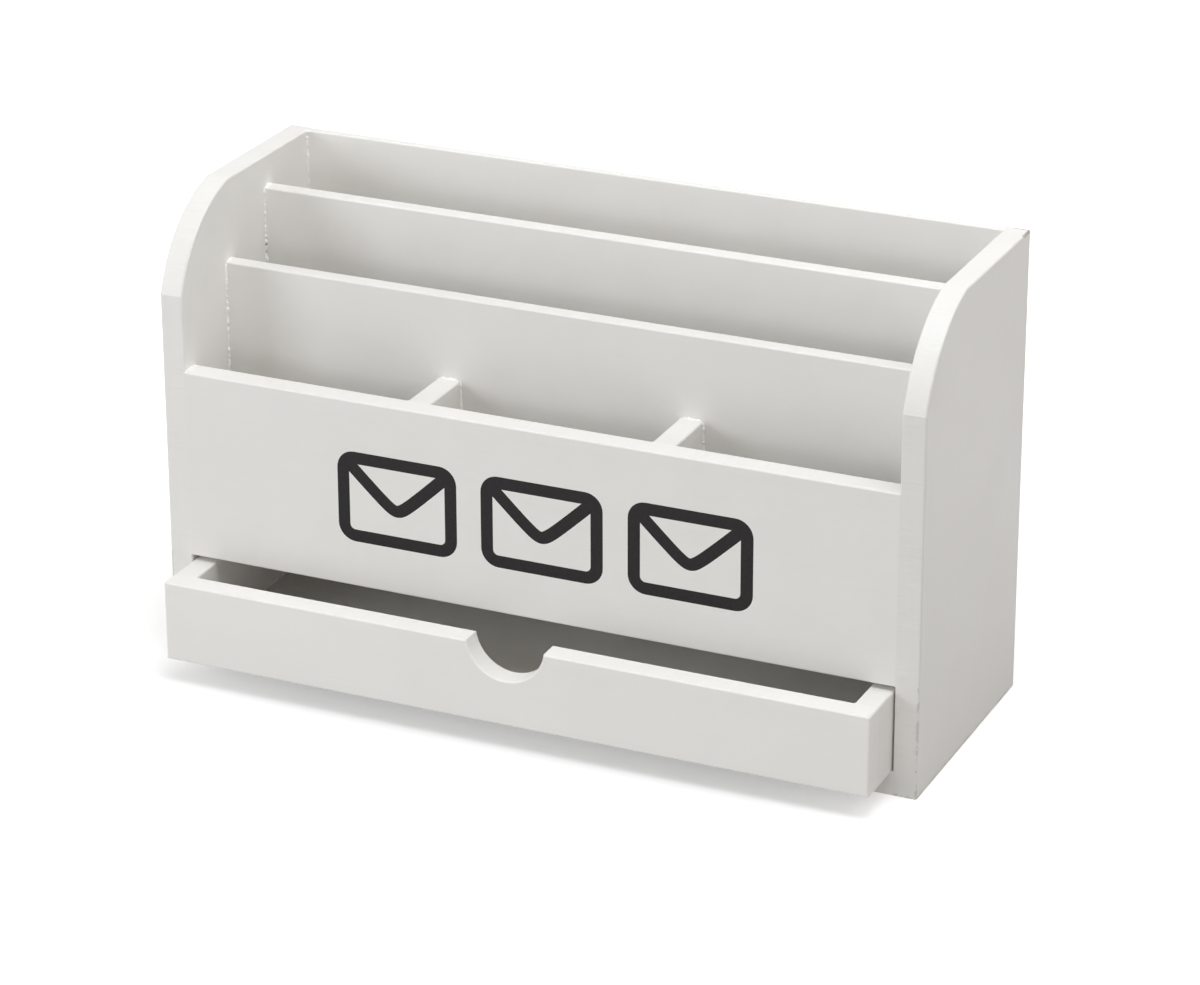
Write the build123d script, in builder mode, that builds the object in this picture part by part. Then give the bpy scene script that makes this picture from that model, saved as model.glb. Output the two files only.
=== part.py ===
from build123d import *
import os

# Envelope sorter with drawer: a white painted board cabinet for a desk or a hall table.
# Two long slots and a row of three short compartments rise from front to back between a
# pair of side panels with a rounded front corner, and a drawer with a finger notch runs on
# the base board underneath.
#
# Frame: millimetres, +Z up, +X to the viewer's right, the front faces -Y. The origin is the
# centre of the cabinet's footprint, at desk level. The drawer is drawn partly open.

os.makedirs("parts", exist_ok=True)

# ------------------------------------------------------------------ driving dimensions: cabinet
cabinet_width = 330.0  # over the two side panels
cabinet_depth = 114.0  # front edges of the side panels to the back
cabinet_height = 198.0  # desk to the top of the side panels and the back
panel_thickness = 10.0  # sides, front and base
back_thickness = 4.0
shelf_thickness = 7.0  # floor of the slots and roof of the drawer bay
divider_thickness = 7.0  # the two long dividers
cross_divider_thickness = 10.0  # the two short dividers behind the front panel
drawer_bay_height = 36.5  # base board to the front panel's lower edge
front_compartment_depth = 27.0  # front panel to middle divider
middle_slot_depth = 27.5  # middle divider to rear divider, the rear slot has the rest
rear_divider_step = 13.5  # down from the cabinet's top
middle_divider_step = 21.5  # down from the rear divider's top
front_panel_step = 35.5  # down from the middle divider's top
housing_depth = 3.0  # stopped housings that hold the long dividers' ends

# ------------------------------------------------------------------ driving dimensions: curve
curve_depth = 41.5  # from the front edge back along the top
curve_drop = 38.0  # from the top down along the front edge
curve_radius = 56.5  # a little flatter than a quarter circle, so both ends keep a soft corner

# ------------------------------------------------------------------ driving dimensions: drawer
drawer_opening = 25.0  # how far the drawer stands out as drawn
drawer_board_thickness = 10.0
drawer_bottom_thickness = 3.0
drawer_bottom_rise = 3.0  # lower edge of the boards to the bottom's underside
drawer_groove_depth = 4.0  # grooves that hold the bottom
drawer_side_gap = 0.7  # to each side panel
drawer_top_gap = 2.0  # to the front panel and the shelf
drawer_slide_gap = 0.2  # to the base board it runs on
drawer_rear_gap = 1.5  # to the back, with the drawer shut flush
notch_radius = 17.0
notch_depth = 14.8

# ------------------------------------------------------------------ driving dimensions: details
eased_edge = 0.8  # sanded round-over of the arrises under the paint
brad_radius = 0.6
brad_head_radius = 1.0
brad_head_height = 0.8
brad_length = 25.0
short_brad_length = 16.0  # for the thin back and the drawer's bottom
brad_set = 1.0  # filler and paint over each head
brad_fit = 0.05  # room around a brad in its hole
brad_inset = 20.0  # first and last brad of a row to the end of the board
back_brad_spacing = 120.0
drawer_brad_inset = 8.0  # brads to the drawer's top edge and to its bottom
drawer_bottom_brad_spacing = 90.0

# ------------------------------------------------------------------ places worked out from them
front_face = -cabinet_depth / 2
back_face = cabinet_depth / 2
outer_x = cabinet_width / 2
inner_x = outer_x - panel_thickness
front_panel_rear = front_face + panel_thickness
back_panel_front = back_face - back_thickness

bay_floor = panel_thickness
bay_roof = bay_floor + drawer_bay_height
shelf_top = bay_roof + shelf_thickness
rear_divider_top = cabinet_height - rear_divider_step
middle_divider_top = rear_divider_top - middle_divider_step
front_panel_top = middle_divider_top - front_panel_step

middle_divider_front = front_panel_rear + front_compartment_depth
middle_divider_rear = middle_divider_front + divider_thickness
rear_divider_front = middle_divider_rear + middle_slot_depth
rear_divider_rear = rear_divider_front + divider_thickness

compartment_width = (2 * inner_x - 2 * cross_divider_thickness) / 3  # three equal compartments
cross_divider_x = (compartment_width + cross_divider_thickness) / 2

drawer_x = inner_x - drawer_side_gap
drawer_inner_x = drawer_x - drawer_board_thickness
drawer_low = bay_floor + drawer_slide_gap
drawer_high = bay_roof - drawer_top_gap
drawer_length = back_panel_front - drawer_rear_gap - front_face
drawer_front_face = front_face - drawer_opening
drawer_front_rear = drawer_front_face + drawer_board_thickness
drawer_rear_face = drawer_front_face + drawer_length
drawer_back_front = drawer_rear_face - drawer_board_thickness
drawer_bottom_low = drawer_low + drawer_bottom_rise
drawer_bottom_high = drawer_bottom_low + drawer_bottom_thickness
drawer_groove_x = drawer_inner_x + drawer_groove_depth


# ------------------------------------------------------------------ shared steps
def block(low, high, mode=Mode.ADD):
    """A board between two opposite corners, or a groove with Mode.SUBTRACT."""
    size = Vector(*high) - Vector(*low)
    with Locations((Vector(*low) + Vector(*high)) * 0.5):
        Box(abs(size.X), abs(size.Y), abs(size.Z), mode=mode)


def brads(planes, length, room=0.0, mode=Mode.ADD):
    """Headed brads, each driven along its plane's normal, the heads set under the surface."""
    with Locations(*[plane.offset(brad_set) for plane in planes]):
        for radius, reach in ((brad_head_radius, brad_head_height), (brad_radius, length)):
            Cylinder(
                radius + room,
                reach + room,
                align=(Align.CENTER, Align.CENTER, Align.MIN),
                mode=mode,
            )


def brad_holes(planes, length):
    """The blind holes that the same brads leave in a board they pass through."""
    brads(planes, length, brad_fit, Mode.SUBTRACT)


def finish(piece, name):
    """Name a finished piece and write its file."""
    piece.part.label = name
    export_step(piece.part, f"parts/{name}.step")


# ------------------------------------------------------------------ where the brads go
def side_brad_planes(side):
    """Through one side panel into the ends of the base, the shelf and the front panel."""
    base_y = (front_face + brad_inset, 0.0, back_panel_front - brad_inset)
    shelf_y = (front_panel_rear + brad_inset, 0.0, back_panel_front - brad_inset)
    front_z = (bay_roof + brad_inset, front_panel_top - brad_inset)
    spots = [(y, panel_thickness / 2) for y in base_y]
    spots += [(y, bay_roof + shelf_thickness / 2) for y in shelf_y]
    spots += [(front_face + panel_thickness / 2, z) for z in front_z]
    return [Plane(origin=(side * outer_x, y, z), z_dir=(-side, 0, 0)) for y, z in spots]


back_brad_planes = [
    Plane(origin=(x, back_face, z), z_dir=(0, -1, 0))
    for x in (-back_brad_spacing, 0.0, back_brad_spacing)
    for z in (panel_thickness / 2, bay_roof + shelf_thickness / 2)
]
cross_brad_planes = [
    Plane(origin=(x, front_face, z), z_dir=(0, 1, 0))
    for x in (-cross_divider_x, cross_divider_x)
    for z in (shelf_top + brad_inset, front_panel_top - brad_inset)
]
drawer_brad_z = (drawer_bottom_high + drawer_brad_inset, drawer_high - drawer_brad_inset)
drawer_side_centre = drawer_x - drawer_board_thickness / 2
drawer_back_centre = drawer_rear_face - drawer_board_thickness / 2
drawer_front_brad_planes = [
    Plane(origin=(x, drawer_front_face, z), z_dir=(0, 1, 0))
    for x in (-drawer_side_centre, drawer_side_centre)
    for z in drawer_brad_z
]
drawer_back_brad_planes = [
    Plane(origin=(side * drawer_x, drawer_back_centre, z), z_dir=(-side, 0, 0))
    for side in (-1, 1)
    for z in drawer_brad_z
]
drawer_bottom_brad_planes = [
    Plane(origin=(x, drawer_back_centre, drawer_bottom_low), z_dir=(0, 0, 1))
    for x in (-drawer_bottom_brad_spacing, 0.0, drawer_bottom_brad_spacing)
]

# ------------------------------------------------------------------ side panels
# One profile cut twice: the rounded front corner, eased arrises, a stopped housing for each long
# divider, and the arrises left square wherever another board is glued on flush.
for name, side in (("left_side_panel", -1), ("right_side_panel", 1)):
    low_x = min(side * outer_x, side * inner_x)
    with BuildPart() as side_panel:
        with BuildSketch(Plane.YZ.offset(low_x)):
            with BuildLine():
                Line((front_face, cabinet_height - curve_drop), (front_face, 0))
                Line((front_face, 0), (back_face, 0))
                Line((back_face, 0), (back_face, cabinet_height))
                Line((back_face, cabinet_height), (front_face + curve_depth, cabinet_height))
                RadiusArc(
                    (front_face + curve_depth, cabinet_height),
                    (front_face, cabinet_height - curve_drop),
                    -curve_radius,
                )
            make_face()
        extrude(amount=panel_thickness)
        outline = side_panel.edges().filter_by(Axis.X, reverse=True)
        lower = outline.group_by(Axis.Z)[0]
        rear_edges = outline.filter_by(Axis.Z).group_by(Axis.Y)[-1].sort_by(Axis.X)
        glued_edge = rear_edges[:1] if side > 0 else rear_edges[-1:]
        fillet(outline - lower - glued_edge, eased_edge)
        arris_x = side * (inner_x + eased_edge)
        arris_y = front_face + eased_edge
        arris_z = cabinet_height - eased_edge
        block((arris_x, front_face, 0), (side * inner_x, arris_y, bay_floor))
        block((arris_x, front_face, bay_roof), (side * inner_x, arris_y, front_panel_top))
        block((arris_x, back_panel_front, arris_z), (side * inner_x, back_face, cabinet_height))
        for start_y, end_y, top in (
            (middle_divider_front, middle_divider_rear, middle_divider_top),
            (rear_divider_front, rear_divider_rear, rear_divider_top),
        ):
            block(
                (side * inner_x, start_y, shelf_top),
                (side * (inner_x + housing_depth), end_y, top),
                Mode.SUBTRACT,
            )
        brad_holes(side_brad_planes(side), brad_length)
    finish(side_panel, name)

# ------------------------------------------------------------------ base, shelf, front and back
with BuildPart() as base_panel:
    block((-inner_x, front_face, 0), (inner_x, back_panel_front, bay_floor))
    fillet(base_panel.edges().filter_by(Axis.X).group_by(Axis.Z)[-1].sort_by(Axis.Y)[0], eased_edge)
    brad_holes(side_brad_planes(-1) + side_brad_planes(1), brad_length)
    brad_holes(back_brad_planes, short_brad_length)
finish(base_panel, "base_panel")

with BuildPart() as shelf_panel:
    block((-inner_x, front_panel_rear, bay_roof), (inner_x, back_panel_front, shelf_top))
    brad_holes(side_brad_planes(-1) + side_brad_planes(1), brad_length)
    brad_holes(back_brad_planes, short_brad_length)
finish(shelf_panel, "shelf_panel")

with BuildPart() as front_panel:
    block((-inner_x, front_face, bay_roof), (inner_x, front_panel_rear, front_panel_top))
    long_edges = front_panel.edges().filter_by(Axis.X)
    lower_front_edge = long_edges.group_by(Axis.Z)[0].sort_by(Axis.Y)[:1]
    fillet(long_edges.group_by(Axis.Z)[-1] + lower_front_edge, eased_edge)
    arris_y = front_panel_rear - eased_edge
    arris_z = front_panel_top - eased_edge
    for centre_x in (-cross_divider_x, cross_divider_x):
        block(
            (centre_x - cross_divider_thickness / 2, arris_y, arris_z),
            (centre_x + cross_divider_thickness / 2, front_panel_rear, front_panel_top),
        )
    brad_holes(side_brad_planes(-1) + side_brad_planes(1) + cross_brad_planes, brad_length)
finish(front_panel, "front_panel")

with BuildPart() as back_panel:
    block((-inner_x, back_panel_front, 0), (inner_x, back_face, cabinet_height))
    fillet(back_panel.edges().filter_by(Axis.X).group_by(Axis.Z)[-1], eased_edge)
    brad_holes(back_brad_planes, short_brad_length)
finish(back_panel, "back_panel")

# ------------------------------------------------------------------ dividers
with BuildPart() as middle_divider:
    block(
        (-inner_x - housing_depth, middle_divider_front, shelf_top),
        (inner_x + housing_depth, middle_divider_rear, middle_divider_top),
    )
    fillet(middle_divider.edges().filter_by(Axis.X).group_by(Axis.Z)[-1], eased_edge)
finish(middle_divider, "middle_divider")

with BuildPart() as rear_divider:
    block(
        (-inner_x - housing_depth, rear_divider_front, shelf_top),
        (inner_x + housing_depth, rear_divider_rear, rear_divider_top),
    )
    fillet(rear_divider.edges().filter_by(Axis.X).group_by(Axis.Z)[-1], eased_edge)
finish(rear_divider, "rear_divider")

for name, centre_x in (
    ("left_cross_divider", -cross_divider_x),
    ("right_cross_divider", cross_divider_x),
):
    with BuildPart() as cross_divider:
        block(
            (centre_x - cross_divider_thickness / 2, front_panel_rear, shelf_top),
            (centre_x + cross_divider_thickness / 2, middle_divider_front, front_panel_top),
        )
        fillet(cross_divider.edges().filter_by(Axis.Y).group_by(Axis.Z)[-1], eased_edge)
        brad_holes(cross_brad_planes, brad_length)
    finish(cross_divider, name)

# ------------------------------------------------------------------ drawer
# The front board covers the ends of the sides and has a round finger notch in its top edge. The
# bottom slides into grooves in the front and the sides, under the back board.
with BuildPart() as drawer_front:
    with BuildSketch(Plane.XZ.offset(-drawer_front_rear)):
        with Locations((0, (drawer_low + drawer_high) / 2)):
            Rectangle(2 * drawer_x, drawer_high - drawer_low)
        with Locations((0, drawer_high + notch_radius - notch_depth)):
            Circle(notch_radius, mode=Mode.SUBTRACT)
    extrude(amount=drawer_board_thickness)
    rear_outline = drawer_front.faces().sort_by(Axis.Y)[-1].edges().filter_by(Axis.Z, reverse=True)
    fillet(rear_outline.sort_by(Axis.Z)[1:], eased_edge)
    for side in (-1, 1):
        block(
            (side * drawer_inner_x, drawer_front_rear - eased_edge, drawer_high - eased_edge),
            (side * drawer_x, drawer_front_rear, drawer_high),
        )
    top_arrises = drawer_front.edges().filter_by(Axis.Y).group_by(Axis.Z)[-1].sort_by(Axis.X)
    end_arrises = top_arrises[:1] + top_arrises[-1:]
    fillet(drawer_front.faces().sort_by(Axis.Y)[0].edges() + end_arrises, eased_edge)
    block(
        (-drawer_groove_x, drawer_front_rear - drawer_groove_depth, drawer_bottom_low),
        (drawer_groove_x, drawer_front_rear, drawer_bottom_high),
        Mode.SUBTRACT,
    )
    brad_holes(drawer_front_brad_planes, brad_length)
finish(drawer_front, "drawer_front")

for name, side in (("drawer_left_side", -1), ("drawer_right_side", 1)):
    with BuildPart() as drawer_side:
        block(
            (side * drawer_inner_x, drawer_front_rear, drawer_low),
            (side * drawer_x, drawer_rear_face, drawer_high),
        )
        fillet(drawer_side.edges().filter_by(Axis.Y).group_by(Axis.Z)[-1], eased_edge)
        block(
            (side * drawer_inner_x, drawer_back_front, drawer_high - eased_edge),
            (side * (drawer_inner_x + eased_edge), drawer_rear_face, drawer_high),
        )
        block(
            (side * drawer_inner_x, drawer_front_rear, drawer_bottom_low),
            (side * drawer_groove_x, drawer_rear_face, drawer_bottom_high),
            Mode.SUBTRACT,
        )
        brad_holes(drawer_front_brad_planes + drawer_back_brad_planes, brad_length)
    finish(drawer_side, name)

with BuildPart() as drawer_back:
    block(
        (-drawer_inner_x, drawer_back_front, drawer_bottom_high),
        (drawer_inner_x, drawer_rear_face, drawer_high),
    )
    fillet(drawer_back.edges().filter_by(Axis.X).group_by(Axis.Z)[-1], eased_edge)
    brad_holes(drawer_back_brad_planes, brad_length)
    brad_holes(drawer_bottom_brad_planes, short_brad_length)
finish(drawer_back, "drawer_back")

with BuildPart() as drawer_bottom:
    block(
        (-drawer_groove_x, drawer_front_rear - drawer_groove_depth, drawer_bottom_low),
        (drawer_groove_x, drawer_rear_face, drawer_bottom_high),
    )
    brad_holes(drawer_bottom_brad_planes, short_brad_length)
finish(drawer_bottom, "drawer_bottom")

# ------------------------------------------------------------------ brads, one group per joint
for name, planes, length in (
    ("left_side_brads", side_brad_planes(-1), brad_length),
    ("right_side_brads", side_brad_planes(1), brad_length),
    ("back_brads", back_brad_planes, short_brad_length),
    ("cross_divider_brads", cross_brad_planes, brad_length),
    ("drawer_front_brads", drawer_front_brad_planes, brad_length),
    ("drawer_back_brads", drawer_back_brad_planes, brad_length),
    ("drawer_bottom_brads", drawer_bottom_brad_planes, short_brad_length),
):
    with BuildPart() as brad_group:
        brads(planes, length)
    finish(brad_group, name)
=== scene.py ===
# %% [markdown]
# # A white painted envelope sorter
# The CAD model holds every board of the sorter at its real size, so this lesson adds only what the
# brush, the glue and the printer leave behind: a satin paint skin on each board, thin beads of painted
# glue in the inner corners, and a printed mark on the front. The first step loads the CAD model as a
# fixed frame. All the pieces made here use the same metres and the same origin.

import math

import bpy
import numpy as np
from mathutils import Matrix, Vector


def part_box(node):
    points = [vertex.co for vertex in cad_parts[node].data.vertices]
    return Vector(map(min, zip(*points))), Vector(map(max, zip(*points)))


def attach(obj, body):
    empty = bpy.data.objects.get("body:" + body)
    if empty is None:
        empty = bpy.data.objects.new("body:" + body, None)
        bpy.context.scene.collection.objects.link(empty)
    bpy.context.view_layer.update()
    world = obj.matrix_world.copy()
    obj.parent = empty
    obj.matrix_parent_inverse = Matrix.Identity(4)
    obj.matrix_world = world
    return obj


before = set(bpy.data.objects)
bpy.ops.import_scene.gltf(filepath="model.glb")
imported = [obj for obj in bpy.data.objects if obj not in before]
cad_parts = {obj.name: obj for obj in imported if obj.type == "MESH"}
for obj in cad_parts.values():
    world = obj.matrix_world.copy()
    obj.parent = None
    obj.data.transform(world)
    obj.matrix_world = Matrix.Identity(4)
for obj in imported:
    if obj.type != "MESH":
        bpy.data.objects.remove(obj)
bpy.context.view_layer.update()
scene = bpy.context.scene
mm = 0.001

# %% [markdown]
# ## The camera
# The straight edges of the boards fix the camera: their lines were matched to the photograph until the
# boards' known sizes fell on them. That gives a place, a direction and a lens. The photograph is cropped
# a little off the lens's centre, so a small shift is part of the match. A matrix built from the right,
# up and backward directions sets the camera exactly, where turning it by three angles would take trials.

# %% Place the camera
IMAGE_WIDTH, IMAGE_HEIGHT = 1200, 985
FOCAL_PIXELS = 4304.2
CENTRE_PIXEL = (569.6, 451.3)
CAMERA_PLACE_MM = (672.1, -1469.9, 764.2)
CAMERA_FORWARD = (-0.38872, 0.83875, -0.38132)
CAMERA_RIGHT = (0.90814, 0.41864, -0.00491)


def place_camera(place_mm, forward, right):
    """A camera at a place in mm: its axes are right, up = right x forward, and minus forward."""
    forward = Vector(forward).normalized()
    right = (Vector(right) - forward * Vector(right).dot(forward)).normalized()
    up = right.cross(forward)
    camera = bpy.data.objects.new("camera", bpy.data.cameras.new("camera"))
    turn = Matrix((right, up, -forward)).transposed().to_4x4()
    turn.translation = Vector(place_mm) * mm
    camera.matrix_world = turn
    scene.collection.objects.link(camera)
    return camera


camera = place_camera(CAMERA_PLACE_MM, CAMERA_FORWARD, CAMERA_RIGHT)
lens = camera.data
lens.sensor_width = 36.0
lens.lens = FOCAL_PIXELS / IMAGE_WIDTH * lens.sensor_width
lens.shift_x = (IMAGE_WIDTH / 2 - CENTRE_PIXEL[0]) / IMAGE_WIDTH
lens.shift_y = (CENTRE_PIXEL[1] - IMAGE_HEIGHT / 2) / IMAGE_WIDTH
scene.camera = camera
print("lens in mm:", round(lens.lens, 1), "shift:", round(lens.shift_x, 4), round(lens.shift_y, 4))

# %% [markdown]
# ## Light
# The real sorter stood in a bright room under a broad soft light from above, with a weaker one from the
# front left: its top edges are nearly white, its front is a light grey and its right side a little
# darker. Large area lamps give such light. Light adds up, so the powers come from one render per lamp
# and the mix of them that best meets the greys of the photograph. The lamp behind serves the views
# from the back.

# %% Add the lamps
def soft_lamp(name, place, aim, size, power, tint=(1, 1, 1)):
    """A square area lamp of a size in metres at a place, turned so that it shines at a point."""
    lamp = bpy.data.objects.new(name, bpy.data.lights.new(name, "AREA"))
    lamp.data.shape = "SQUARE"
    lamp.data.size = size
    lamp.data.energy = power
    lamp.data.color = tint
    lamp.location = place
    lamp.rotation_euler = (Vector(aim) - Vector(place)).to_track_quat("-Z", "Y").to_euler()
    scene.collection.objects.link(lamp)
    return lamp


middle = (0, 0, 0.1)
lamps = [
    soft_lamp("top_right_lamp", (1.3, 0.0, 1.8), middle, 1.2, 6.4, (1.0, 0.975, 0.925)),
    soft_lamp("near_top_lamp", (0.15, -0.15, 0.95), middle, 0.6, 4.1, (0.92, 0.965, 1.0)),
    soft_lamp("front_left_lamp", (-0.9, -1.0, 0.5), middle, 0.5, 4.2, (0.92, 0.96, 1.0)),
    soft_lamp("low_front_lamp", (0.0, -2.2, 0.35), middle, 0.8, 4.9),
    soft_lamp("back_lamp", (0.0, 1.9, 1.7), middle, 1.4, 5.0),
]
print("lamps in watts:", {lamp.name: lamp.data.energy for lamp in lamps})

# %% [markdown]
# ## Small tools for shader nodes
# The world, the paints and the floor are all webs of nodes, so a few helpers keep the lessons short. The
# first adds a node with its settings and its plugged-in values in one call. The next ones are short
# names for the nodes used most: sums, vector sums, noise, a ramp and a mix. The last two start a
# material, and a node group with named sockets. A group is a recipe used by many materials: it is built
# once and each board gives it its own numbers.

# %% One node in one call
def node(tree, kind, inputs=None, **settings):
    """Adds a node: settings are its options, inputs are values or the sockets that feed it."""
    made = tree.nodes.new(kind)
    for option, value in settings.items():
        setattr(made, option, value)
    for socket, value in (inputs or {}).items():
        if isinstance(value, bpy.types.NodeSocket):
            tree.links.new(value, made.inputs[socket])
        else:
            made.inputs[socket].default_value = value
    return made


def maths(tree, operation, *values):
    """A Math node of an operation on one, two or three numbers or sockets, as its output socket."""
    return node(tree, "ShaderNodeMath", dict(enumerate(values)), operation=operation).outputs[0]


def vector_maths(tree, operation, *values):
    """A Vector Math node of an operation on vectors or sockets, as the node itself."""
    return node(tree, "ShaderNodeVectorMath", dict(enumerate(values)), operation=operation)


def vector(tree, operation, *values):
    """The same, as its vector output socket."""
    return vector_maths(tree, operation, *values).outputs["Vector"]


print("general helpers:", [made.__name__ for made in (node, maths, vector_maths, vector)])

# %% Scale, noise, ramp and mix
def scaled(tree, value, factor):
    """A vector times a number, either of them a value or a socket."""
    inputs = {0: value, "Scale": factor}
    return node(tree, "ShaderNodeVectorMath", inputs, operation="SCALE").outputs["Vector"]


def noise(tree, place, scale, detail):
    """Noise from about 0 to 1, with a scale in bumps per unit of the place."""
    inputs = {"Vector": place, "Scale": scale, "Detail": detail}
    return node(tree, "ShaderNodeTexNoise", inputs).outputs[0]


def ramp(tree, value, low, high, kind="LINEAR"):
    """0 under low, 1 over high, and a straight or smooth rise between them."""
    inputs = {"Value": value, "From Min": low, "From Max": high}
    return node(tree, "ShaderNodeMapRange", inputs, interpolation_type=kind).outputs["Result"]


def mixed(tree, factor, first, second):
    """A colour from the first, at a factor of 0, to the second, at 1."""
    inputs = {"Factor": factor, "A": first, "B": second}
    return node(tree, "ShaderNodeMix", inputs, data_type="RGBA").outputs["Result"]


print("helpers for patterns:", [made.__name__ for made in (scaled, noise, ramp, mixed)])

# %% Start a group or a material
def new_group(name, inputs, outputs):
    """An empty group: inputs are name to default (a number or a 3-vector), outputs are names."""
    group = bpy.data.node_groups.new(name, "ShaderNodeTree")
    for label, default in inputs.items():
        kind = "NodeSocketVector" if isinstance(default, tuple) else "NodeSocketFloat"
        socket = group.interface.new_socket(label, in_out="INPUT", socket_type=kind)
        socket.default_value = default
    for label in outputs:
        group.interface.new_socket(label, in_out="OUTPUT", socket_type="NodeSocketFloat")
    given = group.nodes.new("NodeGroupInput").outputs
    out = group.nodes.new("NodeGroupOutput").inputs
    return group, given, out


def new_material(name):
    """A material, its tree, its Principled shader and the Object coordinates as a socket."""
    material = bpy.data.materials.new(name)
    material.use_nodes = True
    tree = material.node_tree
    place = node(tree, "ShaderNodeTexCoord").outputs["Object"]
    return material, tree, tree.nodes["Principled BSDF"], place


print("materials so far:", len(bpy.data.materials), "and groups:", len(bpy.data.node_groups))

# %% [markdown]
# ## The world
# The walls of a bright room throw light into every slot. An even world light does that, a little warm
# and at a third of full strength. Light Path tells the rays apart: seen by the camera or in a
# reflection the world is plain white, at no cost in extra light on the boards.

# %% Add the world
WORLD_FILL = 0.32
WARM_WHITE = (1.0, 0.955, 0.915, 1)
PLAIN_WHITE = (1, 1, 1, 1)
world = bpy.data.worlds.new("white_room")
scene.world = world
world.use_nodes = True
sky = world.node_tree
background = sky.nodes["Background"]
rays = node(sky, "ShaderNodeLightPath").outputs
seen = maths(sky, "MAXIMUM", rays["Is Camera Ray"], rays["Is Glossy Ray"])
fill = node(sky, "ShaderNodeMapRange", {"Value": seen, "To Min": WORLD_FILL, "To Max": 1.0})
sky.links.new(mixed(sky, seen, WARM_WHITE, PLAIN_WHITE), background.inputs["Color"])
sky.links.new(fill.outputs["Result"], background.inputs["Strength"])
print("world fill:", WORLD_FILL)

# %% [markdown]
# ## Paint skin
# The real boards were rolled and then brushed: close up the satin surface is finely dimpled, with faint
# long strokes along each board and soft patches where the coat is thicker. Three noise textures give
# that: a fine one for the dimples, one drawn out along the stroke for the brush, and a broad one for the
# patches. All of them read Object coordinates in millimetres, so the sizes below are real sizes.

# %% The paint skin group
def build_paint_skin():
    """Height = dimples + strokes, Tone = patches + strokes, Sheen = patches, each about -0.5 to 0.5."""
    strokes_in_height, strokes_in_tone, mean = 0.8, 0.35, 0.5
    group, given, out = new_group(
        "paint_skin",
        {"Place": (0.0, 0.0, 0.0), "Stroke": (0.04, 1.0, 1.0), "Dimple Size": 1.1, "Patch Size": 26.0},
        ("Height", "Tone", "Sheen"),
    )
    in_mm = scaled(group, given["Place"], 1 / mm)
    along = vector(group, "MULTIPLY", in_mm, given["Stroke"])
    dimples = noise(group, in_mm, maths(group, "DIVIDE", 1.0, given["Dimple Size"]), 2.0)
    strokes = noise(group, along, 0.9, 3.0)
    patches = noise(group, in_mm, maths(group, "DIVIDE", 1.0, given["Patch Size"]), 3.0)
    height = maths(group, "MULTIPLY_ADD", strokes, strokes_in_height, dimples)
    tone = maths(group, "MULTIPLY_ADD", strokes, strokes_in_tone, patches)
    height = maths(group, "SUBTRACT", height, mean * (1 + strokes_in_height))
    tone = maths(group, "SUBTRACT", tone, mean * (1 + strokes_in_tone))
    group.links.new(height, out["Height"])
    group.links.new(tone, out["Tone"])
    group.links.new(maths(group, "SUBTRACT", patches, mean), out["Sheen"])
    return group


paint_skin = build_paint_skin()
print("paint skin nodes:", len(paint_skin.nodes))

# %% [markdown]
# ## Worn arrises
# Paint is thinnest on the long edges, and there it rubs through in short grey streaks, low down where the
# sorter is pushed about. A mask for it needs the distance to the nearest edge. For a board that is
# simple: take the distances to its three pairs of faces. On the surface the smallest is nearly nothing,
# and the middle one of the three is the distance to the edge. The side panels' round corner adds one
# more distance, to the circle that cuts it. A height fades the rubbing out upwards, and a point says
# where the board had a knock: the right side panel has one at its rear top corner.

# %% The distance to the nearest edge
def distance_to_edge(group, given):
    """Middle one of the distances in mm to the left or right, front or rear, and top or bottom face."""
    far_away = 1000.0
    offset = vector(group, "ABSOLUTE", vector(group, "SUBTRACT", given["Place"], given["Centre"]))
    inward = scaled(group, vector(group, "SUBTRACT", given["Half Size"], offset), 1 / mm)
    to_faces = node(group, "ShaderNodeSeparateXYZ", {"Vector": inward}).outputs
    spoke = vector(group, "SUBTRACT", given["Place"], given["Round Centre"])
    spoke = vector(group, "MULTIPLY", spoke, (0.0, 1.0, 1.0))
    spoke_length = vector_maths(group, "LENGTH", spoke).outputs["Value"]
    to_round = maths(group, "DIVIDE", maths(group, "SUBTRACT", given["Round Radius"], spoke_length), mm)
    reach = node(group, "ShaderNodeSeparateXYZ", {"Vector": spoke}).outputs
    in_front = maths(group, "LESS_THAN", reach["Y"], 0.0)
    above = maths(group, "GREATER_THAN", reach["Z"], 0.0)
    outside = maths(group, "SUBTRACT", 1.0, maths(group, "MULTIPLY", in_front, above))
    to_round = maths(group, "ADD", to_round, maths(group, "MULTIPLY", outside, far_away))
    to_front = maths(group, "MINIMUM", to_faces["Y"], to_round)
    low_pair = maths(group, "MINIMUM", to_faces["X"], to_front)
    high_pair = maths(group, "MAXIMUM", to_faces["X"], to_front)
    return maths(group, "MAXIMUM", low_pair, maths(group, "MINIMUM", high_pair, to_faces["Z"]))


print("middle one of 4, 0 and 7:", max(min(4, 0), min(max(4, 0), 7)))

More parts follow.
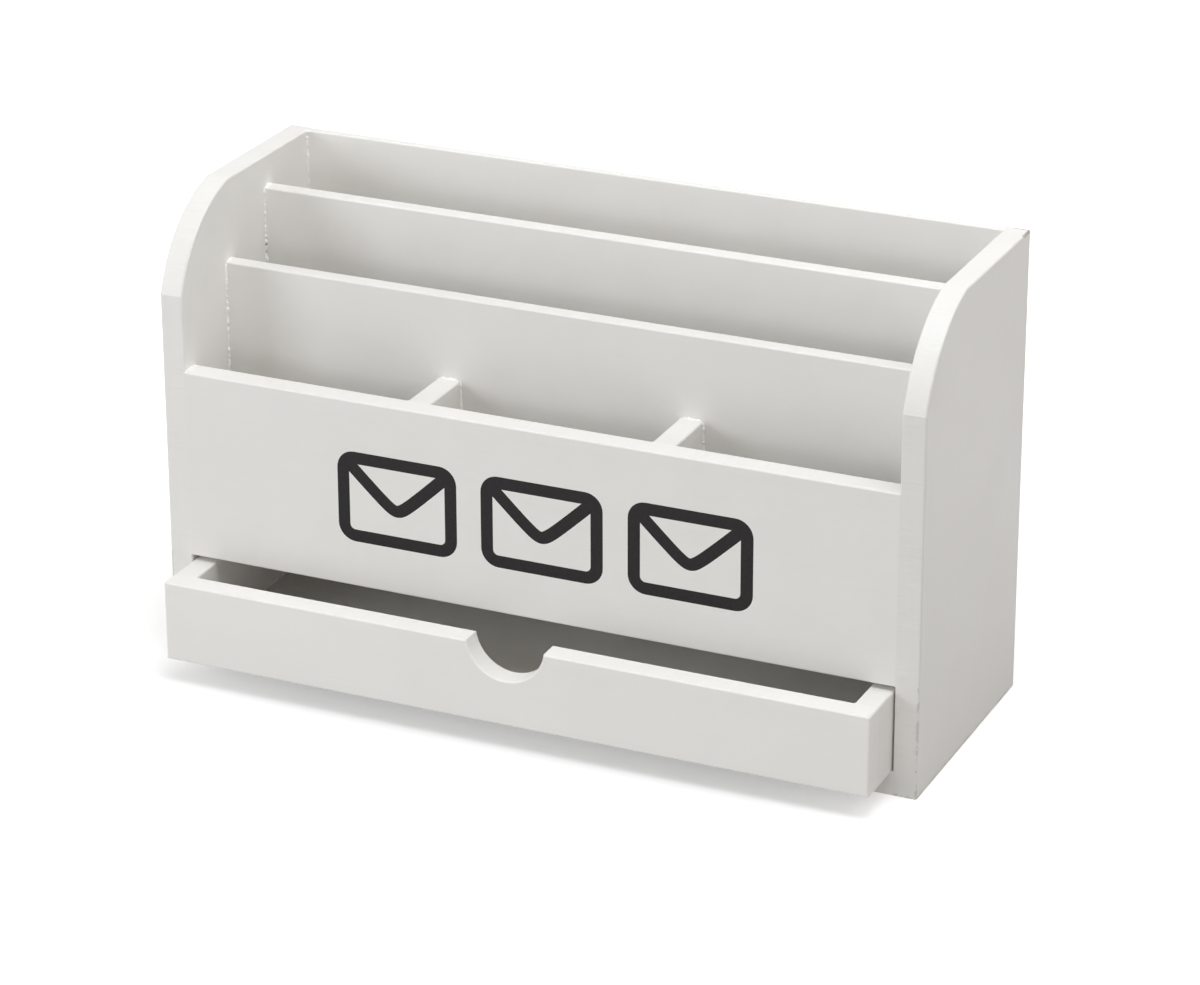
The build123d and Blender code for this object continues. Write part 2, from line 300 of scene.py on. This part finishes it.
# %% The worn arris group
def build_worn_arris():
    """Bare = 1 where the distance to the edge is under a noisy reach, and more near the knock."""
    streak_scale, grit_scale, grit_share = 0.16, 0.8, 0.6
    unrubbed_threshold, threshold_fall, steepness = 1.25, 0.7, 8.0
    soft_border, knock_depth = 0.5, 1.8
    group, given, out = new_group(
        "worn_arris",
        {
            "Place": (0.0, 0.0, 0.0),
            "Centre": (0.0, 0.0, 0.0),
            "Half Size": (0.1, 0.1, 0.1),
            "Round Centre": (0.0, 0.0, 0.0),
            "Round Radius": 10.0,
            "Reach": 1.2,
            "Rubbed": 0.5,
            "Rub Height": 0.08,
            "Knock": (0.0, 0.0, -1.0),
            "Knock Size": 0.012,
        },
        ("Bare",),
    )
    edge = distance_to_edge(group, given)
    in_mm = scaled(group, given["Place"], 1 / mm)
    grit, streaks = noise(group, in_mm, grit_scale, 3.0), noise(group, in_mm, streak_scale, 2.0)
    rub = maths(group, "MULTIPLY_ADD", grit, grit_share, streaks)

    # 1 up to half the rub height, then down to 0 at the rub height
    height = node(group, "ShaderNodeSeparateXYZ", {"Vector": given["Place"]}).outputs["Z"]
    lowness = maths(group, "DIVIDE", maths(group, "MULTIPLY", height, 2.0), given["Rub Height"])
    lowness = maths(group, "MAXIMUM", maths(group, "SUBTRACT", 2.0, lowness), 0.0)
    lowness = maths(group, "MINIMUM", lowness, 1.0)

    # knock_depth at the knock, down to 0 at its size from there
    away = vector_maths(group, "DISTANCE", given["Place"], given["Knock"]).outputs["Value"]
    knock = maths(group, "SUBTRACT", 1.0, maths(group, "DIVIDE", away, given["Knock Size"]))
    knock = maths(group, "MAXIMUM", maths(group, "MULTIPLY", knock, knock_depth), 0.0)

    # the more rubbed, the lower the noise that already lets the board show
    rubbed = maths(group, "MULTIPLY_ADD", given["Rubbed"], lowness, knock)
    threshold = maths(group, "MULTIPLY", rubbed, threshold_fall)
    threshold = maths(group, "SUBTRACT", unrubbed_threshold, threshold)
    growth = maths(group, "MULTIPLY", given["Reach"], steepness)
    width = maths(group, "MULTIPLY", maths(group, "SUBTRACT", rub, threshold), growth)
    inside = maths(group, "SUBTRACT", maths(group, "MINIMUM", width, given["Reach"]), edge)
    bare = ramp(group, inside, 0.0, soft_border, "SMOOTHSTEP")
    group.links.new(maths(group, "MULTIPLY", bare, maths(group, "ADD", knock, 1.0)), out["Bare"])
    return group


worn_arris = build_worn_arris()
print("worn arris nodes:", len(worn_arris.nodes))

# %% [markdown]
# ## Sawn edges
# The narrow faces of the boards are sawn and sanded fibre board. They drink the paint, so fine lines
# across the board stay visible in them here and there, as on the front edges of the side panels. Noise
# that is drawn out across the thickness gives those lines, a mask on the surface's direction keeps them
# off the broad faces, and a broad noise lets them show only in places.

# %% The sawn edge group
def build_sawn_edge():
    """Lines = noise drawn out along the thickness, x how far the face turns from it, x broad noise."""
    drawn_out, whole = (-0.93, -0.93, -0.93), (1.0, 1.0, 1.0)
    place_scale, mean = 0.09, 0.5
    group, given, out = new_group(
        "sawn_edge",
        {
            "Place": (0.0, 0.0, 0.0),
            "Facing": (0.0, 0.0, 1.0),
            "Thickness Axis": (1.0, 0.0, 0.0),
            "Line Size": 0.8,
        },
        ("Lines",),
    )
    in_mm = scaled(group, given["Place"], 1 / mm)
    squeeze = vector(group, "MULTIPLY_ADD", given["Thickness Axis"], drawn_out, whole)
    across = vector(group, "MULTIPLY", in_mm, squeeze)
    lines = noise(group, across, maths(group, "DIVIDE", 1.0, given["Line Size"]), 2.0)
    showing = ramp(group, noise(group, in_mm, place_scale, 1.0), 0.4, 0.65)
    along = vector_maths(group, "DOT_PRODUCT", given["Facing"], given["Thickness Axis"]).outputs["Value"]
    turned = maths(group, "SUBTRACT", 1.0, maths(group, "ABSOLUTE", along))
    narrow = ramp(group, turned, 0.5, 0.9)
    shown = maths(group, "MULTIPLY", narrow, showing)
    lines = maths(group, "SUBTRACT", lines, mean)
    group.links.new(maths(group, "MULTIPLY", lines, shown), out["Lines"])
    return group


sawn_edge = build_sawn_edge()
print("sawn edge nodes:", len(sawn_edge.nodes))

# %% [markdown]
# ## The white satin paint
# One function mixes the three groups into a material for one board. The plain white is a warm one, and
# the patches change it by a few percent. Where the paint is rubbed through, the grey brown fibre board
# shows through what is left of it. The dimples, strokes and sawn lines go into a Bump node, whose
# distance is a real height: a few hundredths of a millimetre.

# %% The paint material
WHITE = (0.91, 0.894, 0.864)
BARE_BOARD = (0.42, 0.37, 0.31, 1)
TONE_OF_SKIN, TONE_OF_LINES = 0.07, 0.14
BARE_SHARE = 0.32
SATIN, SHEEN_CHANGE, BARE_ROUGHER = 0.44, 0.18, 0.25
LINE_HEIGHT, BARE_HEIGHT = 1.4, -0.8
BUMP_HEIGHT = 0.03 * mm
WORN_REACH = 1.1


def painted(name, stroke, thickness_axis, coat_and_painted_shade, wear):
    """White paint on a board: colour = white x (coat + tone), mixed to bare board by the worn mask.

    stroke and thickness_axis are directions, and wear holds the worn arris group's own values."""
    material, tree, shader, place = new_material(name)
    facing = node(tree, "ShaderNodeNewGeometry").outputs["Normal"]
    skin_inputs = {"Place": place, "Stroke": stroke}
    sawn_inputs = {"Place": place, "Facing": facing, "Thickness Axis": thickness_axis}
    worn_inputs = {"Place": place, "Reach": WORN_REACH, **wear}
    skin = node(tree, "ShaderNodeGroup", skin_inputs, node_tree=paint_skin).outputs
    lines = node(tree, "ShaderNodeGroup", sawn_inputs, node_tree=sawn_edge).outputs["Lines"]
    bare = node(tree, "ShaderNodeGroup", worn_inputs, node_tree=worn_arris).outputs["Bare"]
    # the board's factor is painted light and shade: it makes the whole board's white lighter or darker
    tone = maths(tree, "MULTIPLY_ADD", skin["Tone"], TONE_OF_SKIN, coat_and_painted_shade)
    tone = maths(tree, "MULTIPLY_ADD", lines, TONE_OF_LINES, tone)
    colour = mixed(tree, maths(tree, "MULTIPLY", bare, BARE_SHARE), scaled(tree, WHITE, tone), BARE_BOARD)
    rough = maths(tree, "MULTIPLY_ADD", skin["Sheen"], SHEEN_CHANGE, SATIN)
    rough = maths(tree, "MULTIPLY_ADD", bare, BARE_ROUGHER, rough)
    height = maths(tree, "MULTIPLY_ADD", lines, LINE_HEIGHT, skin["Height"])
    height = maths(tree, "MULTIPLY_ADD", bare, BARE_HEIGHT, height)
    bump = node(tree, "ShaderNodeBump", {"Height": height, "Strength": 1.0, "Distance": BUMP_HEIGHT})
    tree.links.new(colour, shader.inputs["Base Color"])
    tree.links.new(rough, shader.inputs["Roughness"])
    tree.links.new(bump.outputs["Normal"], shader.inputs["Normal"])
    return material


# %% [markdown]
# ## Painting the boards
# Each board is painted by its own direction: the long boards with strokes from left to right, the side
# panels up and down. Its white is made a few percent lighter or darker than the next board's: that is
# painted light and shade, lighter on the drawer front, the drawer sides and the back board, darker on the
# right side panel, the dividers and the drawer's back and bottom. The board's box gives the worn edges
# their distances. The two side panels share one wide box, so that only their outer edges wear: the inner
# ones are glued to other boards. They also name the circle of their round corner, and are rubbed more, as
# the ones that are pushed about.

# %% How each board was painted
ALONG_X, ALONG_Y, ALONG_Z = (0.04, 1.0, 1.0), (1.0, 0.04, 1.0), (1.0, 1.0, 0.04)
THICK_X, THICK_Y, THICK_Z = (1.0, 0.0, 0.0), (0.0, 1.0, 0.0), (0.0, 0.0, 1.0)
# the third number scales the board's white: painted light and shade for how brightly each board is lit
board_ways = {
    "left_side_panel": (ALONG_Z, THICK_X, 1.01),
    "right_side_panel": (ALONG_Z, THICK_X, 0.96),
    "base_panel": (ALONG_X, THICK_Z, 1.0),
    "shelf_panel": (ALONG_X, THICK_Z, 1.0),
    "front_panel": (ALONG_X, THICK_Y, 1.0),
    "back_panel": (ALONG_X, THICK_Y, 1.03),
    "middle_divider": (ALONG_X, THICK_Y, 0.94),
    "rear_divider": (ALONG_X, THICK_Y, 0.98),
    "left_cross_divider": (ALONG_Y, THICK_X, 0.96),
    "right_cross_divider": (ALONG_Y, THICK_X, 0.96),
    "drawer_front": (ALONG_X, THICK_Y, 1.06),
    "drawer_left_side": (ALONG_Y, THICK_X, 1.03),
    "drawer_right_side": (ALONG_Y, THICK_X, 1.03),
    "drawer_back": (ALONG_X, THICK_Y, 0.93),
    "drawer_bottom": (ALONG_X, THICK_Z, 0.9),
}
print("boards to paint:", len(board_ways))

# %% The circle of the round corner
ROUND_RADIUS = 56.5 * mm
ROUND_REAR_END = (-15.5 * mm, 198 * mm)
ROUND_FRONT_END = (-57 * mm, 160 * mm)


def arc_centre(start, end, radius):
    """Centre below the chord from start to end: its middle, moved square to it by root(r^2 - half^2)."""
    start, end = np.array(start), np.array(end)
    chord = end - start
    half_length = np.linalg.norm(chord) / 2
    square = np.array([-chord[1], chord[0]]) / (2 * half_length)
    return (start + end) / 2 + square * math.sqrt(radius**2 - half_length**2)


round_centre = arc_centre(ROUND_REAR_END, ROUND_FRONT_END, ROUND_RADIUS)
print("round corner's centre in mm:", (round_centre / mm).round(2))

# %% Paint every board
RUBBED, RUBBED_SIDES = 0.2, 0.8
KNOCKED_CORNER = (165 * mm, 55 * mm, 198 * mm)


def give(name, material):
    """Puts one material in place of all of a CAD node's slots."""
    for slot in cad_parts[name].material_slots:
        slot.material = material


def wear_of(board):
    """The worn arris group's values for a board: its box, and a side panel's round corner and knock."""
    low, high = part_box(board)
    centre, half = tuple((low + high) / 2), tuple((high - low) / 2)
    if not board.endswith("side_panel"):
        return {"Centre": centre, "Half Size": half, "Round Centre": centre, "Rubbed": RUBBED}
    wear = {
        "Centre": (0.0, *centre[1:]),
        "Half Size": (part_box("right_side_panel")[1].x, *half[1:]),
        "Round Centre": (0.0, *round_centre),
        "Round Radius": ROUND_RADIUS,
        "Rubbed": RUBBED_SIDES,
    }
    if board == "right_side_panel":
        wear["Knock"] = KNOCKED_CORNER
    return wear


for board, (stroke, thickness, coat_and_painted_shade) in board_ways.items():
    give(board, painted(f"paint_{board}", stroke, thickness, coat_and_painted_shade, wear_of(board)))
print("boards with a coat over 1:", [board for board, way in board_ways.items() if way[2] > 1])

# %% [markdown]
# ## The nails
# Nails hold the boards, set under filler and paint. None shows from outside, but the model can be taken
# apart, so they get the look of drawn steel wire: a grey metal, a little cloudy.

# %% Steel for the hidden nails
def nail_steel():
    """Drawn wire: fine noise mixes two greys and changes the roughness."""
    material, tree, shader, place = new_material("nail_steel")
    cloud = noise(tree, place, 1800.0, 2.0)
    colour = mixed(tree, cloud, (0.46, 0.46, 0.47, 1), (0.62, 0.62, 0.63, 1))
    tree.links.new(colour, shader.inputs["Base Color"])
    tree.links.new(maths(tree, "MULTIPLY_ADD", cloud, 0.2, 0.3), shader.inputs["Roughness"])
    shader.inputs["Metallic"].default_value = 1.0
    return material


steel = nail_steel()
nail_nodes = [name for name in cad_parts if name.endswith("_brads")]
for name in nail_nodes:
    give(name, steel)
print("nail groups:", len(nail_nodes))

# %% [markdown]
# ## Beads in the corners
# Where two boards meet at an inner corner, glue squeezed out and was painted over. It is a bead about a
# millimetre wide that swells and thins in small lumps along the joint, and it catches the light as a
# dotted pale line. Each bead is a bulging quarter circle carried along the joint: at a place along the
# joint the surface runs from one board to the other, and its radius follows smoothed random numbers. At
# both ends the radius runs out to nearly nothing.

# %% Where the joints are
def faces_of(name):
    """The six face places of a CAD node's box, in metres, by plain names."""
    low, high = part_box(name)
    return {"left": low.x, "right": high.x, "front": low.y, "rear": high.y, "bottom": low.z, "top": high.z}


boards = {name: faces_of(name) for name in board_ways}
wall_left, wall_right = boards["left_side_panel"]["right"], boards["right_side_panel"]["left"]
walls = ((wall_left, 1), (wall_right, -1))
slot_floor = boards["shelf_panel"]["top"]
bays = (
    (boards["front_panel"]["rear"], boards["middle_divider"]["front"]),
    (boards["middle_divider"]["rear"], boards["rear_divider"]["front"]),
    (boards["rear_divider"]["rear"], boards["back_panel"]["front"]),
)
print("slots from front to rear in mm:", [(round(a / mm, 1), round(b / mm, 1)) for a, b in bays])

# %% One bead
BEAD_RADIUS = 0.62 * mm
BEAD_PITCH = 0.35 * mm
SWELL_LENGTH, SWELL = 4.3 * mm, (0.7, 1.2)
LUMP_LENGTH, LUMPS = 0.85 * mm, (-0.45, 0.5)
RUN_OUT_LENGTH, THINNEST = 1.5 * mm, 0.03
SEED_WEIGHTS = (7919, 104729, 1299709)
X_AXIS, Y_AXIS, Z_AXIS = np.eye(3)


def smooth_random(seed, places, spacing, low, high):
    """Random numbers between low and high on knots a spacing apart, joined by straight runs."""
    knots = np.arange(0.0, places[-1] + 2 * spacing, spacing)
    return np.interp(places, knots, np.random.default_rng(seed).uniform(low, high, len(knots)))


def bead(start, end, first, second, radius=BEAD_RADIUS, pitch=BEAD_PITCH):
    """Corner + r(s) (cos t first + sin t second) for t from 0 to a right angle, faces outwards."""
    start, end = np.array(start, float), np.array(end, float)
    length = np.linalg.norm(end - start)
    s = np.linspace(0.0, length, max(int(length / pitch), 8) + 1)
    seed = int(abs(start * SEED_WEIGHTS).sum() * 1000)
    swell = smooth_random(seed, s, SWELL_LENGTH, *SWELL)
    lumps = smooth_random(seed + 1, s, LUMP_LENGTH, *LUMPS)
    run_out = np.clip(np.minimum(s, length - s) / RUN_OUT_LENGTH, THINNEST, 1.0) ** 0.5
    r = radius * (swell + lumps) * run_out
    t = np.linspace(0.0, math.pi / 2, 6)
    arc = np.outer(np.cos(t), first) + np.outer(np.sin(t), second)
    grid = start + s[:, None, None] / length * (end - start) + r[:, None, None] * arc[None]
    if np.dot(np.cross(end - start, second - first), first + second) < 0:
        grid = grid[:, ::-1]
    return grid


sample_bead = bead((0, 0, 0), (0, 0, 0.1), X_AXIS, Y_AXIS)
print("a 100 mm bead has points:", sample_bead.shape[0] * sample_bead.shape[1])

# %% The beads' paint
# The beads' white is lighter than the boards': a painted highlight for the pale line they catch.
BEAD_HIGHLIGHT_WHITE = (0.99, 0.98, 0.96)
# The pits' near black is painted shade of small holes in the bead.
PIT_SHADE = (0.06, 0.055, 0.05, 1)


def bead_paint_with_highlight():
    """Paint a little lighter than the boards' as a painted highlight, near black as painted shade where the
    point attribute pit says the bead broke.
    """
    material, tree, shader, place = new_material("bead_paint_with_highlight")
    skin_inputs = {"Place": place, "Dimple Size": 0.7}
    skin = node(tree, "ShaderNodeGroup", skin_inputs, node_tree=paint_skin).outputs
    tone = maths(tree, "MULTIPLY_ADD", skin["Height"], 0.12, 1.0)
    pit = node(tree, "ShaderNodeAttribute", attribute_name="pit").outputs["Fac"]
    colour = mixed(tree, pit, scaled(tree, BEAD_HIGHLIGHT_WHITE, tone), PIT_SHADE)
    rough = maths(tree, "MULTIPLY_ADD", skin["Sheen"], 0.2, 0.4)
    bump = node(tree, "ShaderNodeBump", {"Height": skin["Height"], "Strength": 1.0, "Distance": 0.05 * mm})
    tree.links.new(colour, shader.inputs["Base Color"])
    tree.links.new(rough, shader.inputs["Roughness"])
    tree.links.new(bump.outputs["Normal"], shader.inputs["Normal"])
    return material


bead_highlight_material = bead_paint_with_highlight()
print("bead paint nodes:", len(bead_highlight_material.node_tree.nodes))

# %% A mesh from grids
def surface(name, grids, body, material, attributes=None):
    """One mesh from grids of points: each cell of a grid, taken in order round it, is a face."""
    points, quads, base = [], [], 0
    for grid in grids:
        rows, columns = grid.shape[:2]
        index = base + np.arange(rows * columns).reshape(rows, columns)
        cells = np.stack([index[:-1, :-1], index[1:, :-1], index[1:, 1:], index[:-1, 1:]], axis=-1)
        points.append(grid.reshape(-1, 3))
        quads.append(cells.reshape(-1, 4))
        base += rows * columns
    mesh = bpy.data.meshes.new(name)
    mesh.from_pydata(np.concatenate(points).tolist(), [], np.concatenate(quads).tolist())
    for label, values in (attributes or {}).items():
        attribute = mesh.attributes.new(label, "FLOAT", "POINT")
        attribute.data.foreach_set("value", np.asarray(values, np.float32))
    mesh.shade_smooth()
    mesh.materials.append(material)
    made = bpy.data.objects.new(name, mesh)
    scene.collection.objects.link(made)
    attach(made, body)
    print(name, "faces:", len(mesh.polygons))
    return made


# %% Beads where the long boards meet the side panels
# two pits in the left wall's bead are painted near black: painted shade of the small holes where it broke
PIT_HEIGHTS = (0.1597, 0.1563)
PIT_RADIUS = 0.35 * mm
UPRIGHT_PITCH = 0.3 * mm
BROKEN_JOINT = (wall_left, "rear_divider", "front")
WALL_JOINTS = (
    ("front_panel", "rear"),
    ("middle_divider", "front"),
    ("middle_divider", "rear"),
    ("rear_divider", "front"),
    ("rear_divider", "rear"),
    ("back_panel", "front"),
)


def pit_shade(grid, broken):
    """exp(-(height from the nearest pit / pit radius)^2) at each point of a broken bead, else 0."""
    if not broken:
        return np.zeros(grid.shape[:2]).ravel()
    away = np.abs(grid[..., 2, None] - np.array(PIT_HEIGHTS)).min(-1)
    return np.exp(-((away / PIT_RADIUS) ** 2)).ravel()


upright_beads, pits = [], []
for wall, inward in walls:
    for board, face in WALL_JOINTS:
        y, out = boards[board][face], Y_AXIS if face == "rear" else -Y_AXIS
        ends = (wall, y, slot_floor), (wall, y, boards[board]["top"])
        grid = bead(*ends, inward * X_AXIS, out, pitch=UPRIGHT_PITCH)
        upright_beads.append(grid)
        pits.append(pit_shade(grid, (wall, board, face) == BROKEN_JOINT))
surface("side_joint_beads", upright_beads, "cabinet", bead_highlight_material, {"pit": np.concatenate(pits)})

# %% Beads round the short dividers
CROSS_DIVIDERS = ("left_cross_divider", "right_cross_divider")
near_y, far_y = bays[0]
short_beads = []
for board in CROSS_DIVIDERS:
    for x, out in ((boards[board]["left"], -X_AXIS), (boards[board]["right"], X_AXIS)):
        for y, inward in ((near_y, Y_AXIS), (far_y, -Y_AXIS)):
            short_beads.append(bead((x, y, slot_floor), (x, y, boards[board]["top"]), out, inward))
        short_beads.append(bead((x, near_y, slot_floor), (x, far_y, slot_floor), out, Z_AXIS))
surface("cross_joint_beads", short_beads, "cabinet", bead_highlight_material)

# %% Beads on the boards' top edges
top_beads = []
for wall, inward in walls:
    for board in ("front_panel", "middle_divider", "rear_divider"):
        front, rear, top = (boards[board][face] for face in ("front", "rear", "top"))
        top_beads.append(bead((wall, front + mm, top), (wall, rear - mm, top), inward * X_AXIS, Z_AXIS))
for board in CROSS_DIVIDERS:
    left, right, rear, top = (boards[board][face] for face in ("left", "right", "rear", "top"))
    top_beads.append(bead((left + mm, rear, top), (right - mm, rear, top), -Y_AXIS, Z_AXIS))
surface("top_joint_beads", top_beads, "cabinet", bead_highlight_material)

# %% Beads along the slots' floor
cross_faces = [boards[name][face] for name in CROSS_DIVIDERS for face in ("left", "right")]
three_bays = (
    (wall_left, cross_faces[0]),
    (cross_faces[1], cross_faces[2]),
    (cross_faces[3], wall_right),
)
floor_beads = []
for near_y, far_y in bays:
    for left, right in three_bays if near_y == bays[0][0] else ((wall_left, wall_right),):
        floor_beads.append(bead((left, near_y, slot_floor), (right, near_y, slot_floor), Y_AXIS, Z_AXIS))
        floor_beads.append(bead((left, far_y, slot_floor), (right, far_y, slot_floor), -Y_AXIS, Z_AXIS))
    for wall, inward in walls:
        ends = (wall, near_y, slot_floor), (wall, far_y, slot_floor)
        floor_beads.append(bead(*ends, inward * X_AXIS, Z_AXIS))
surface("slot_floor_beads", floor_beads, "cabinet", bead_highlight_material)

# %% Beads inside the drawer
left, right = boards["drawer_left_side"]["right"], boards["drawer_right_side"]["left"]
near, far = boards["drawer_front"]["rear"], boards["drawer_back"]["front"]
low, high = boards["drawer_bottom"]["top"], boards["drawer_back"]["top"]
drawer_beads = []
for x, inward in ((left, X_AXIS), (right, -X_AXIS)):
    for y, along in ((near, Y_AXIS), (far, -Y_AXIS)):
        drawer_beads.append(bead((x, y, low), (x, y, high), inward, along))
    drawer_beads.append(bead((x, near, low), (x, far, low), inward, Z_AXIS))
for y, along in ((near, Y_AXIS), (far, -Y_AXIS)):
    drawer_beads.append(bead((left, y, low), (right, y, low), along, Z_AXIS))
surface("drawer_joint_beads", drawer_beads, "drawer", bead_highlight_material)

# %% [markdown]
# ## The printed mark
# The front board carries a printed mark in a soft black: a plain row of three envelope outlines. The
# outline is a ring round a rectangle with round corners: the corner's centre plus (radius + v) times a
# turning direction, where v crosses the stroke. The flap is a smooth V, a hyperbola, with v measured
# along its normal. Ink has hardly any thickness, so the stroke rises from the paint by a twentieth of a
# millimetre and falls back to it.

# %% The ink
def print_ink():
    """Near black matt ink: noise makes it a little cloudy and lets its roughness vary."""
    material, tree, shader, place = new_material("print_ink")
    cloud = noise(tree, place, 900.0, 4.0)
    colour = mixed(tree, cloud, (0.013, 0.0115, 0.0118, 1), (0.032, 0.029, 0.0295, 1))
    bump = node(tree, "ShaderNodeBump", {"Height": cloud, "Strength": 1.0, "Distance": 0.02 * mm})
    shader.inputs["Specular IOR Level"].default_value = 0.15
    tree.links.new(colour, shader.inputs["Base Color"])
    tree.links.new(maths(tree, "MULTIPLY_ADD", cloud, 0.3, 0.4), shader.inputs["Roughness"])
    tree.links.new(bump.outputs["Normal"], shader.inputs["Normal"])
    return material


ink = print_ink()
print("ink nodes:", len(ink.node_tree.nodes))

# %% The sizes of the mark
STROKE = 5.3 * mm
INK_HEIGHT = 0.05 * mm
ENVELOPE_WIDTH, ENVELOPE_HEIGHT = 48 * mm, 34 * mm
ENVELOPE_STEP = 64 * mm
CORNER_RADIUS = 5 * mm
FLAP_DEPTH, FLAP_SOFTNESS, FLAP_INSET = 19 * mm, 3 * mm, 1.3 * mm
FLAP_LIFT = 1.2
PRINT_MIDDLE = (4.8 * mm, 86 * mm)
across = np.linspace(-STROKE / 2, STROKE / 2, 9)
lift = INK_HEIGHT * (1 - (2 * across / STROKE) ** 6)


def on_front(x, z, height):
    """Points on the front board's face at x and z from the print's middle, raised towards the viewer."""
    y = np.broadcast_to(boards["front_panel"]["front"] - height, x.shape)
    return np.stack([x + PRINT_MIDDLE[0], y, z + PRINT_MIDDLE[1]], axis=-1)


print("mark's width in mm:", round((2 * ENVELOPE_STEP + ENVELOPE_WIDTH + STROKE) / mm, 1))

# %% The envelope outlines
def outline_ring(shift):
    """Corner centre + (radius + v) (cos a, sin a), the four corners in turn, closed on its start."""
    angle = np.concatenate([np.linspace(q, q + 1, 9) for q in range(4)]) * math.pi / 2
    angle = np.append(angle, 0.0)
    quarter = np.append(np.repeat(np.arange(4), 9), 0)
    side_x = np.array([1, -1, -1, 1])[quarter] * (ENVELOPE_WIDTH / 2 - CORNER_RADIUS)
    side_z = np.array([1, 1, -1, -1])[quarter] * (ENVELOPE_HEIGHT / 2 - CORNER_RADIUS)
    reach = CORNER_RADIUS + across[None]
    x = side_x[:, None] + reach * np.cos(angle)[:, None] + shift
    z = side_z[:, None] + reach * np.sin(angle)[:, None]
    return on_front(x, z, lift[None])


def flap_stroke(shift):
    """z = low + slope (root(x^2 + c^2) - c), plus v along the normal (-dz, dx)."""
    half = ENVELOPE_WIDTH / 2 - FLAP_INSET
    low = ENVELOPE_HEIGHT / 2 - FLAP_INSET - FLAP_DEPTH
    x = np.linspace(-half, half, 61)
    slope = FLAP_DEPTH / (math.hypot(half, FLAP_SOFTNESS) - FLAP_SOFTNESS)
    z = low + slope * (np.hypot(x, FLAP_SOFTNESS) - FLAP_SOFTNESS)
    steep = slope * x / np.hypot(x, FLAP_SOFTNESS)
    size = np.sqrt(1 + steep**2)
    x_rows = (x - across[:, None] * steep / size).T + shift
    z_rows = (z + across[:, None] / size).T
    return on_front(x_rows, z_rows, FLAP_LIFT * lift[None])


marks = []
for shift in (-ENVELOPE_STEP, 0.0, ENVELOPE_STEP):
    marks += [outline_ring(shift)[::-1], flap_stroke(shift)]
printed_mark = surface("printed_envelopes", marks, "cabinet", ink)
print("print from x", [round(printed_mark.bound_box[corner][0] / mm, 1) for corner in (0, 6)])

# %% [markdown]
# ## The floor
# A plain pale sheet that carries the shadow. To the camera it is lifted to white by emission: a little
# near the sorter, so that its shadow stays, and fully further out, so that the picture's background is
# as white as the photograph's. The light that it throws back onto the boards stays that of a plain table.

# %% Lay the floor
TABLE_GREY = (0.55, 0.55, 0.55, 1)
PAPER_WHITE = (0.9, 0.9, 0.9, 1)
WHITENING = {"From Min": 0.1, "From Max": 0.42, "To Min": 0.3, "To Max": 1.0}


def floor_paper():
    """Grey to the boards, white to the camera, with an emission that grows with the distance."""
    material, tree, shader, place = new_material("floor_paper")
    paths = node(tree, "ShaderNodeLightPath").outputs
    seen = maths(tree, "MAXIMUM", paths["Is Camera Ray"], paths["Is Glossy Ray"])
    away = vector_maths(tree, "LENGTH", place).outputs["Value"]
    whiter = node(tree, "ShaderNodeMapRange", {"Value": away, **WHITENING}, interpolation_type="SMOOTHSTEP")
    glow = maths(tree, "MULTIPLY", seen, whiter.outputs["Result"])
    tree.links.new(mixed(tree, seen, TABLE_GREY, PAPER_WHITE), shader.inputs["Base Color"])
    tree.links.new(glow, shader.inputs["Emission Strength"])
    shader.inputs["Emission Color"].default_value = PLAIN_WHITE
    shader.inputs["Roughness"].default_value = 0.9
    shader.inputs["Specular IOR Level"].default_value = 0.0
    return material


def pale_floor(half_width):
    """A flat square at desk level, its corners half_width from the middle along X and Y."""
    corners = half_width * np.array([(-1, -1, 0), (1, -1, 0), (1, 1, 0), (-1, 1, 0)], float)
    mesh = bpy.data.meshes.new("floor")
    mesh.from_pydata(corners.tolist(), [], [(0, 1, 2, 3)])
    mesh.materials.append(floor_paper())
    floor = bpy.data.objects.new("floor", mesh)
    scene.collection.objects.link(floor)
    return floor


floor = pale_floor(8.0)
print("floor:", [round(v, 2) for v in floor.dimensions])

# %% Finish
scene.view_settings.view_transform = "Standard"
